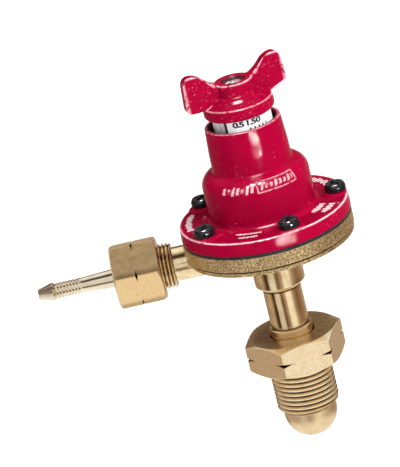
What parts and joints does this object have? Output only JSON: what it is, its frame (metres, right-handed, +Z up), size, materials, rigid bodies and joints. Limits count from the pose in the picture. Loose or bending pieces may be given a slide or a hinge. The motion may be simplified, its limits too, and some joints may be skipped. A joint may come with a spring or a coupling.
{
  "type": "gas regulator",
  "caption": "Adjustable fuel-gas pressure regulator: red bonnet and wing knob over a brass body, bull-nose inlet with a left-hand hex nut below, hose tail with a union nut at the side.",
  "frame": {"origin": "centre of the bull nose's flat end face, on the common axis of the inlet, diaphragm and knob", "axes": "+Z up from the inlet to the adjusting knob; -X along the outlet, out of the hose tail; +Y away from the front"},
  "size_m": [0.1158, 0.0616, 0.1436],
  "materials": {
    "red_paint": "thick glossy crimson paint over a zinc casting",
    "body_brass": "forged brass, grainy on the disc edge, turned elsewhere",
    "turned_brass": "bright turned brass",
    "nut_brass": "satin drawn brass with turned threads",
    "black_screw": "black oxide",
    "plated_steel": "zinc plated",
    "barrel_zinc": "plain turned grey metal",
    "spring_steel": "drawn spring wire",
    "black_rubber": "matt fabric-reinforced rubber",
    "white_label": "printed label strip",
    "fibre_seal": "red-brown vulcanised fibre",
    "sintered_bronze": "sintered grains"
  },
  "bodies": {
    "regulator": {"body": "body_brass", "bonnet": "red_paint", "flange_screw_1": "black_screw", "flange_screw_2": "black_screw", "flange_screw_3": "black_screw", "flange_screw_4": "black_screw", "flange_screw_5": "black_screw", "diaphragm": "black_rubber", "valve_seat": "turned_brass", "valve_spring": "spring_steel", "range_spring": "spring_steel", "inlet_stem": "turned_brass", "inlet_filter": "sintered_bronze", "stem_seal": "fibre_seal"},
    "spring_carrier": {"spring_button": "plated_steel"},
    "knob": {"wing_knob": "red_paint", "knob_screw": "plated_steel", "adjusting_barrel": "barrel_zinc", "dial_label": "white_label"},
    "diaphragm_stack": {"diaphragm_plate": "plated_steel", "diaphragm_nut": "plated_steel", "diaphragm_pusher": "turned_brass"},
    "valve": {"valve_poppet": "turned_brass", "valve_pad": "black_rubber"},
    "nut_washer": {"thrust_washer": "plated_steel"},
    "inlet_nut_body": {"inlet_nut": "nut_brass"},
    "tail": {"hose_tail": "turned_brass"},
    "union_nut_body": {"union_nut": "nut_brass"}
  },
  "joints": [
    {"name": "knob_travel", "type": "slide", "parent": "regulator", "child": "spring_carrier", "axis": [0, 0, 1], "range_m": [-0.00337, 0], "deforming": ["range_spring"]},
    {"name": "knob_turn", "type": "hinge", "parent": "spring_carrier", "child": "knob", "pos_m": [0, 0, 0.13], "axis": [0, 0, 1], "range_deg": [-810, 0]},
    {"name": "diaphragm_lift", "type": "slide", "parent": "regulator", "child": "diaphragm_stack", "axis": [0, 0, 1], "range_m": [-0.0008, 0], "deforming": ["diaphragm"]},
    {"name": "poppet_slide", "type": "slide", "parent": "regulator", "child": "valve", "axis": [0, 0, 1], "range_m": [-0.0008, 0], "deforming": ["valve_spring"]},
    {"name": "inlet_nut_slide", "type": "slide", "parent": "regulator", "child": "nut_washer", "axis": [0, 0, 1], "range_m": [0, 0.018]},
    {"name": "inlet_nut_spin", "type": "hinge", "parent": "nut_washer", "child": "inlet_nut_body", "pos_m": [0, 0, 0.03], "axis": [0, 0, 1], "continuous": true},
    {"name": "tail_slide", "type": "slide", "parent": "regulator", "child": "tail", "axis": [-1, 0, 0], "range_m": [0, 0.0067]},
    {"name": "union_nut_turn", "type": "hinge", "parent": "tail", "child": "union_nut_body", "pos_m": [-0.05, 0, 0.0753], "axis": [1, 0, 0], "range_deg": [0, 1800]}
  ],
  "couplings": [
    {"joint": "knob_travel", "follows": "knob_turn", "m_per_rad": 0.00023872},
    {"joint": "poppet_slide", "follows": "diaphragm_lift", "ratio": 1},
    {"joint": "tail_slide", "follows": "union_nut_turn", "m_per_rad": 0.00021279}
  ]
}
